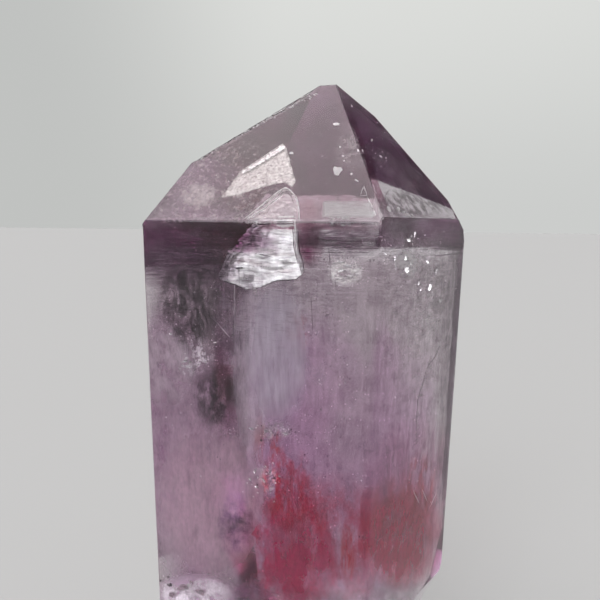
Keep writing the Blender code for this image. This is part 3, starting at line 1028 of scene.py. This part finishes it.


# Clouds near the faces. Just under the skin the quartz is mottled and streaked: stain
# in the growth lines, milky haze, and gleaming healed cracks. Some sheets are painted
# light and shade instead: painted shade in the dark band under the shoulder, over the
# windows, along the right rim and low on the right, a painted shadow on the cap, and
# painted red light low down, as if seen through the crystal from behind. Each is a thin
# sheet that lies along one face.
CLOUDS = {
    # name: (centre, radii, depth, kind, tone, strength, grain size, stretch, low, high)
    "smoky_upper": ((190, 304), (34, 48), 1.0, "stain", (0.18, 0.14, 0.17), 0.92, 0.55, tall(2), 0.36, 0.60),
    "smoky_lower": ((217, 397), (28, 33), 0.8, "stain", (0.20, 0.14, 0.19), 0.90, 0.6, tall(2), 0.38, 0.60),
    "smoky_streaks": ((214, 320), (44, 80), 0.7, "stain", (0.24, 0.18, 0.24), 0.60, 0.2, tall(7), 0.44, 0.70),
    "front_streaks": ((262, 410), (150, 230), 0.5, "stain", (0.5, 0.4, 0.5), 0.3, 0.25, tall(7), 0.38, 0.74),
    "front_mottle": ((262, 400), (150, 230), 1.4, "stain", (0.42, 0.32, 0.42), 0.34, 1.3, EVEN, 0.36, 0.74),
    "front_lines": ((262, 250), (130, 110), 0.3, "stain", (0.40, 0.32, 0.40), 0.45, 0.1, wide(7), 0.46, 0.70),
    "right_streaks": (
        (417, 400), (70, 220), 0.5, "stain", (0.48, 0.38, 0.46), 0.34, 0.25, tall(7), 0.38, 0.74),
    "right_mottle": ((417, 380), (70, 220), 1.2, "stain", (0.42, 0.34, 0.40), 0.36, 0.8, EVEN, 0.42, 0.70),
    "right_lines": ((417, 260), (70, 80), 0.3, "stain", (0.35, 0.28, 0.35), 0.40, 0.1, wide(7), 0.46, 0.70),
    # Painted shade along the right rim.
    "right_shade": ((452, 350), (20, 230), 0.4, "stain", (0.30, 0.22, 0.27), 0.70, 1.2, tall(7), 0.20, 0.55),
    "cap_mottle": ((225, 185), (110, 74), 0.4, "stain", (0.40, 0.33, 0.36), 0.60, 0.18, EVEN, 0.46, 0.68),
    # Painted shadow on the cap.
    "cap_shadow": ((276, 128), (50, 60), 0.8, "stain", (0.62, 0.54, 0.56), 0.60, 1.2, EVEN, 0.25, 0.65),
    "lavender_tint": ((277, 356), (36, 80), 1.0, "stain", (0.90, 0.88, 1.00), 0.55, 1.6, tall(7), 0.10, 0.50),
    # Painted shade low on the right.
    "right_low_shade": ((420, 500), (60, 90), 0.8, "stain", (0.7, 0.4, 0.54), 0.7, 1.4, tall(7), 0.25, 0.60),
    # Painted red light low down, as if seen through the crystal from behind: the wine red     patches with their milky cores and tails, the red streaks and the red middle.
    "red_light_left": ((288, 542), (56, 82), 1.0, "stain", (0.96, 0.12, 0.40), 0.90, 1.1, tall(2.5), 0.36, 0.62),
    "red_light_left_core": ((300, 560), (40, 46), 0.6, "milk", (0.60, 0.05, 0.18), 0.66, 0.9, tall(2), 0.30, 0.64),
    "red_light_left_tail": ((286, 486), (30, 44), 1.2, "stain", (1.0, 0.2, 0.34), 0.8, 0.6, tall(2.5), 0.42, 0.62),
    "red_light_right": ((402, 532), (44, 62), 1.0, "stain", (0.90, 0.05, 0.28), 0.85, 0.9, tall(1.8), 0.26, 0.58),
    "red_light_right_core": ((396, 540), (38, 52), 0.5, "milk", (0.62, 0.03, 0.14), 0.84, 0.8, tall(2), 0.30, 0.64),
    "red_light_right_tail": ((420, 486), (20, 36), 1.2, "stain", (0.9, 0.2, 0.28), 0.8, 0.6, tall(2.5), 0.40, 0.62),
    "red_light_streak_1": ((259, 440), (6, 30), 1.2, "stain", (1.00, 0.18, 0.14), 0.8, 0.2, tall(7), 0.40, 0.64),
    "red_light_streak_2": ((276, 450), (7, 24), 1.2, "stain", (1.00, 0.18, 0.14), 0.8, 0.2, tall(7), 0.40, 0.64),
    "red_light_streak_3": ((348, 552), (9, 32), 1.2, "stain", (1.00, 0.18, 0.14), 0.8, 0.3, tall(7), 0.38, 0.62),
    "red_light_middle": ((330, 540), (60, 70), 2.0, "stain", (0.95, 0.42, 0.50), 0.80, 1.0, tall(2), 0.30, 0.62),
    "red_specks": ((297, 334), (14, 26), 1.2, "stain", (0.75, 0.20, 0.25), 0.8, 0.25, EVEN, 0.50, 0.62),
    "plum_low": ((236, 524), (20, 34), 0.8, "stain", (0.36, 0.24, 0.46), 0.66, 0.6, EVEN, 0.34, 0.66),
    # Painted shade: the dark violet band under the shoulder.
    "band_shade_deep": ((200, 236), (80, 20), 0.4, "stain", (0.50, 0.15, 0.42), 0.9, 0.8, wide(7), 0.20, 0.55),
    "band_shade_middle": ((345, 237), (46, 22), 0.4, "stain", (0.40, 0.24, 0.36), 0.80, 0.16, wide(7), 0.30, 0.60),
    "magenta_column": ((309, 244), (16, 26), 0.6, "stain", (0.50, 0.08, 0.34), 0.9, 0.4, tall(7), 0.25, 0.55),
    "cap_mauve": ((310, 170), (110, 80), 1.6, "stain", (0.72, 0.50, 0.60), 0.9, 1.4, EVEN, 0.15, 0.60),
    "window_streaks": ((345, 210), (30, 16), 0.5, "stain", (0.3, 0.25, 0.28), 0.7, 0.15, tall(7), 0.46, 0.66),
    # Painted shade over the pale window in the front cap face.
    "window_dim": ((345, 206), (44, 26), 0.8, "stain", (0.66, 0.68, 0.68), 0.4, 0.9, EVEN, 0.15, 0.60),
    "window_pink": ((309, 212), (14, 14), 0.8, "stain", (0.86, 0.62, 0.64), 0.4, 0.9, EVEN, 0.15, 0.60),
    # Painted shade: the dark violet band under the shoulder, low on the left.
    "band_shade_left_low": ((182, 266), (60, 26), 0.6, "stain", (0.40, 0.26, 0.38), 0.85, 0.9, wide(7), 0.20, 0.60),
    # Painted shade over the pale window in the right cap face.
    "window_shade": ((410, 204), (44, 16), 0.3, "stain", (0.46, 0.44, 0.44), 0.8, 0.6, EVEN, 0.38, 0.62),
    "column_lavender": ((277, 356), (34, 76), 0.6, "milk", (0.96, 0.93, 1.00), 0.60, 2.0, tall(7), 0.15, 0.6),
    "haze_by_edge": ((252, 368), (22, 100), 0.7, "milk", (0.94, 0.84, 0.94), 0.62, 0.8, tall(3), 0.15, 0.55),
    "haze_left": ((186, 470), (62, 130), 1.6, "milk", (0.90, 0.74, 0.86), 0.55, 1.4, tall(2), 0.25, 0.62),
    "haze_left_low": ((212, 500), (62, 86), 0.9, "milk", (0.98, 0.74, 0.86), 0.60, 1.8, tall(2), 0.15, 0.60),
    "haze_left_edge": ((168, 366), (30, 46), 1.2, "milk", (0.92, 0.82, 0.90), 0.60, 1.0, tall(2), 0.25, 0.60),
    "haze_middle": ((270, 330), (120, 90), 2.6, "milk", (0.90, 0.84, 0.92), 0.26, 1.0, EVEN, 0.44, 0.66),
    "haze_right": ((420, 320), (50, 110), 1.6, "milk", (0.94, 0.92, 0.92), 0.30, 0.9, EVEN, 0.44, 0.66),
    "cap_haze": ((215, 188), (95, 70), 0.5, "milk", (0.96, 0.88, 0.86), 0.28, 0.30, EVEN, 0.46, 0.66),
    "silver_milk": ((409, 264), (15, 17), 0.35, "milk", (1.00, 1.00, 1.00), 0.95, 0.3, wide(2), 0.40, 0.56),
    "cap_cloud": ((200, 195), (22, 14), 0.6, "milk", (0.98, 0.92, 0.90), 0.60, 0.6, EVEN, 0.30, 0.60),
    "cap_haze_high": ((354, 148), (22, 26), 0.5, "milk", (0.92, 0.86, 0.86), 0.22, 0.5, EVEN, 0.36, 0.62),
    "lilac_low": ((194, 596), (46, 24), 0.8, "milk", (1.0, 0.80, 0.98), 1.00, 0.9, EVEN, 0.20, 0.48),
    "lilac_gleam": ((194, 594), (40, 18), 0.6, "air", (1.0, 0.92, 1.0), 0.90, 0.6, EVEN, 0.34, 0.54),
    "silver_zone": ((432, 296), (24, 50), 1.2, "air", (1.0, 1.00, 0.99), 0.60, 0.5, wide(2), 0.40, 0.60),
    "bright_patch": ((345, 272), (19, 16), 1.2, "air", (1.0, 1.00, 0.97), 0.90, 0.3, wide(2.5), 0.34, 0.56),
    "pale_cluster": ((268, 430), (30, 11), 1.6, "air", (1.0, 0.98, 1.0), 0.75, 0.3, EVEN, 0.44, 0.56),
    "zigzag_veil": ((262, 480), (18, 19), 1.4, "air", (1.0, 0.98, 1.0), 0.85, 0.25, tall(1.6), 0.46, 0.56),
    "left_cluster": ((190, 355), (26, 22), 1.4, "air", (1.0, 0.98, 1.0), 0.70, 0.25, EVEN, 0.48, 0.58),
    "veil_low_right": ((421, 506), (11, 19), 1.4, "air", (1.0, 0.96, 1.0), 0.55, 0.3, tall(7), 0.40, 0.60),
}
CLOUD_SPACING = 0.10
CLOUD_WAVE = 0.25
CLOUD_WAVE_PIXELS = 25.0
CLOUD_FADE = 2.2
LIGHT_LEAN = -0.14
FIRST_CLOUD_SEED = 20.0


def oval(centre, radii, corners=32):
    """Pixels round an oval, drawn in to stay on the face that shows at its centre."""
    ring = []
    for number in range(corners):
        angle = 2 * math.pi * number / corners
        way = Vector((radii[0] * math.cos(angle), radii[1] * math.sin(angle)))
        share = 1.0
        while face_at(Vector(centre) + way * share) != face_at(centre):
            share -= 0.01
        ring.append(tuple(Vector(centre) + way * (share - 0.005)))
    return ring


for seed, (name, cloud) in enumerate(CLOUDS.items()):
    centre, radii, depth, kind, tone, strength, size, stretch, low, high = cloud

    def thinning(pixel):
        """1 in the middle of the oval and 0 on its rim."""
        reach = math.hypot((pixel[0] - centre[0]) / radii[0], (pixel[1] - centre[1]) / radii[1])
        return min(1.0, max(0.0, CLOUD_FADE * (1.0 - reach)))

    def wave(pixel):
        """The slow rise and fall of the sheet, in millimetres."""
        spot = Vector((pixel[0] / CLOUD_WAVE_PIXELS, pixel[1] / CLOUD_WAVE_PIXELS, seed))
        return CLOUD_WAVE * depth * noise.noise(spot)

    gleams = kind == "air"
    own(flaw("cloud_" + name, oval(centre, radii), depth, (0.0, LIGHT_LEAN if gleams else 0.0),
             max(3.0, CLOUD_SPACING * max(radii)), relief=wave, cover_at=thinning, walls=2 if gleams else 1),
        veil_finish(name, kind, tone + (1.0,), strength, size * MM, stretch, low, high,
                    FIRST_CLOUD_SEED + seed, two_walls=not gleams))

# The far shoulder shows through the front cap face as a pale strip with square ends.
# It is painted light: a pale milky sheet just under the face.
WINDOW_LIGHT = [(321, 199), (371, 200), (376, 219), (321, 219)]
WINDOW_WHITE = (0.92, 1.0, 0.96, 1.0)
own(flaw("window_light", WINDOW_LIGHT, 0.4, spacing=4.0, fade=2.0, walls=1),
    veil_finish("window_light_paint", "milk", WINDOW_WHITE, 0.75, 0.4 * MM,wide(7), 0.10, 0.50, 71.0))


# Specks. Fine flat bubbles and flakes glint all through the crystal, most of them in
# clusters.
SPECK_CLUSTERS = [
    # centre, spread across and down, count, least and largest size in pixels, depth in mm
    ((262, 400), (70, 110), 900, 0.5, 1.5, 2.0), ((417, 380), (24, 90), 380, 0.5, 1.5, 1.6),
    ((190, 340), (20, 24), 110, 0.4, 1.5, 1.8), ((205, 325), (26, 30), 80, 0.4, 1.4, 2.6),
    ((345, 272), (10, 8), 60, 0.8, 2.6, 1.8), ((432, 298), (11, 24), 130, 0.8, 2.6, 1.6),
    ((265, 431), (18, 6), 90, 0.8, 2.6, 1.7), ((262, 480), (9, 10), 90, 0.8, 2.8, 1.6),
    ((222, 450), (10, 10), 36, 0.8, 2.2, 1.8), ((320, 300), (24, 30), 120, 0.6, 1.8, 2.4),
    ((190, 588), (18, 6), 60, 1.0, 4.0, 1.4), ((350, 440), (40, 50), 160, 0.6, 1.6, 2.4),
    ((230, 180), (28, 20), 260, 0.4, 1.2, 0.5), ((320, 170), (30, 30), 90, 0.4, 1.2, 0.6),
    ((378, 150), (8, 16), 40, 0.5, 1.4, 0.6), ((404, 250), (16, 10), 70, 0.8, 2.6, 1.6),
]
for shade, seed, share in (("bright", 31, 1.0), ("dark", 32, 0.5)):
    chance = random.Random(seed)
    spots = []
    for centre, spread, count, least, largest, depth in SPECK_CLUSTERS:
        for _ in range(int(count * share)):
            pixel = (chance.gauss(centre[0], spread[0]), chance.gauss(centre[1], spread[1]))
            if face_at(pixel) != face_at(centre):
                continue
            size = least + (largest - least) * chance.random() ** 2
            spots.append((pixel, depth * chance.uniform(0.3, 1.8), (size, size * chance.uniform(0.4, 1.0)),
                          chance.uniform(-90, 90), chance.uniform(0, 30)))
    finish = white_edge if shade == "bright" else dark_edge
    chips("specks_" + shade, spots, finish, seed, thickness=0.015, corners=(3, 5))


# Long cracks. One runs down the right side, and short ones stand or lie under the
# shoulder, in the cap and on the left. A strip of painted shade darkens the right rim,
# and a thin line of painted shade runs along the rim of the cap.
LONG_CRACK = [(441, 342), (437, 353), (427, 368), (422, 385), (418, 399), (416.5, 423), (416, 445)]
CRACK_GLINT = 1.2
SHORT_CRACKS = [
    [(328, 245), (330, 262), (331, 285)], [(311, 297), (312, 315), (313, 332)], [(335, 275), (336, 290)],
    [(244, 300), (245, 345)], [(262, 290), (261, 352)], [(410, 325), (425, 331)], [(299, 252), (320, 253)],
    [(303, 250), (309, 256)], [(320, 240), (372, 242)], [(322, 252.5), (370, 252)],
    [(386, 204), (385, 196), (390, 189)], [(325, 200), (325, 216)], [(333, 200), (334, 214)],
    [(338, 195), (338.6, 210)], [(365, 192), (371, 205), (375, 216)]]
PALE_LINES = [
    [(206, 311.5), (218, 324), (230, 337.6)], [(178, 309), (200, 309)],
    [(234.6, 284), (234, 312), (235, 340)], [(322, 236.5), (375, 236.5)], [(322, 247), (374, 247)],
    [(390, 251), (410, 248)], [(428, 249), (440, 252)], [(190, 242), (198, 244.5)],
    [(188, 253), (207, 255)], [(185, 265), (198, 267)], [(439, 497), (433, 508)],
    [(360, 196), (364, 186), (367, 195), (360, 196)]]
BRIGHT_LINES = [[(413, 490), (419, 503)], [(422, 489), (427, 501)], [(436, 494), (430, 507)]]
RIGHT_RIM = [
    (463, 232), (460, 262), (457, 300), (454, 340), (451, 380), (448.5, 420), (445.5, 460), (442.5, 500)]
CAP_RIM = [(349, 103), (367, 117), (385, 134), (410, 166), (430, 188), (446, 205), (457, 217)]
RIM_VIOLET = (0.40, 0.26, 0.38, 1.0)
thread("long_crack_dark", [LONG_CRACK], 0.06, 1.6, dark_edge)
thread("long_crack_pale", [[(right + CRACK_GLINT, down) for right, down in LONG_CRACK]],
       0.05, 1.7, white_edge)
thread("upright_cracks", SHORT_CRACKS, 0.035, 1.0, dark_edge)
thread("pale_lines", PALE_LINES, 0.045, 1.2, white_edge)
thread("bright_lines", BRIGHT_LINES, 0.07, 0.45, white_edge)
# Painted shade: a dark violet strip just under the right rim.
thread("rim_shade", [RIGHT_RIM], 0.8, 0.35,
       veil_finish("rim_shade", "stain", RIM_VIOLET, 0.9, 0.8 * MM,tall(7), 0.15, 0.45, 90.0))
# Painted shade: a thin dark line along the rim of the cap.
thread("cap_rim_dark", [CAP_RIM], 0.07, 0.15, dark_edge)

# The worn edges themselves are chipped, and thin broken dark lines of painted shade run
# just under the ridge and the right edge.
RIGHT_EDGE_FOOT = Vector((11.287, -1.804, 20.5)) * MM
RIGHT_EDGE_HEAD = Vector((11.287, -1.804, 44.2)) * MM
RIDGE_STRETCHES = [(0.02, 0.17), (0.19, 0.37), (0.40, 0.58), (0.60, 0.83), (0.86, 0.97)]
RIGHT_EDGE_STRETCHES = [(0.0, 0.14), (0.16, 0.33), (0.35, 0.52), (0.53, 0.74), (0.76, 0.99)]
RIDGE_LINE = [(318, 93), (301, 101), (272, 117), (244, 133), (224, 144.5), (206, 155)]
edge_line("ridge_dark", ridge_low, ridge_high, ridge_out, 0.08, RIDGE_STRETCHES, dark_edge)
edge_line("right_edge_dark", RIGHT_EDGE_FOOT, RIGHT_EDGE_HEAD, (heading(1) + heading(2)).normalized(), 0.13,
          RIGHT_EDGE_STRETCHES, dark_edge)
chance = random.Random(27)
for name, finish, count in (("ridge_chips_dark", dark_edge, 90), ("ridge_chips_pale", white_edge, 50)):
    chips(name, [(pixel, 0.15, (chance.uniform(1, 3.4), chance.uniform(0.6, 1.6)), chance.uniform(20, 50), 30)
                 for pixel in along(RIDGE_LINE, count, 0.7, chance) if face_at(pixel) is not None],
          finish, 27, thickness=0.05)
chance = random.Random(23)
chips("long_crack_splinters",
      strewn(LONG_CRACK, 46, 1.6, 1.6, (1, 3), (1, 3), (-90, 90), (15, 50), chance), white_edge, 23)
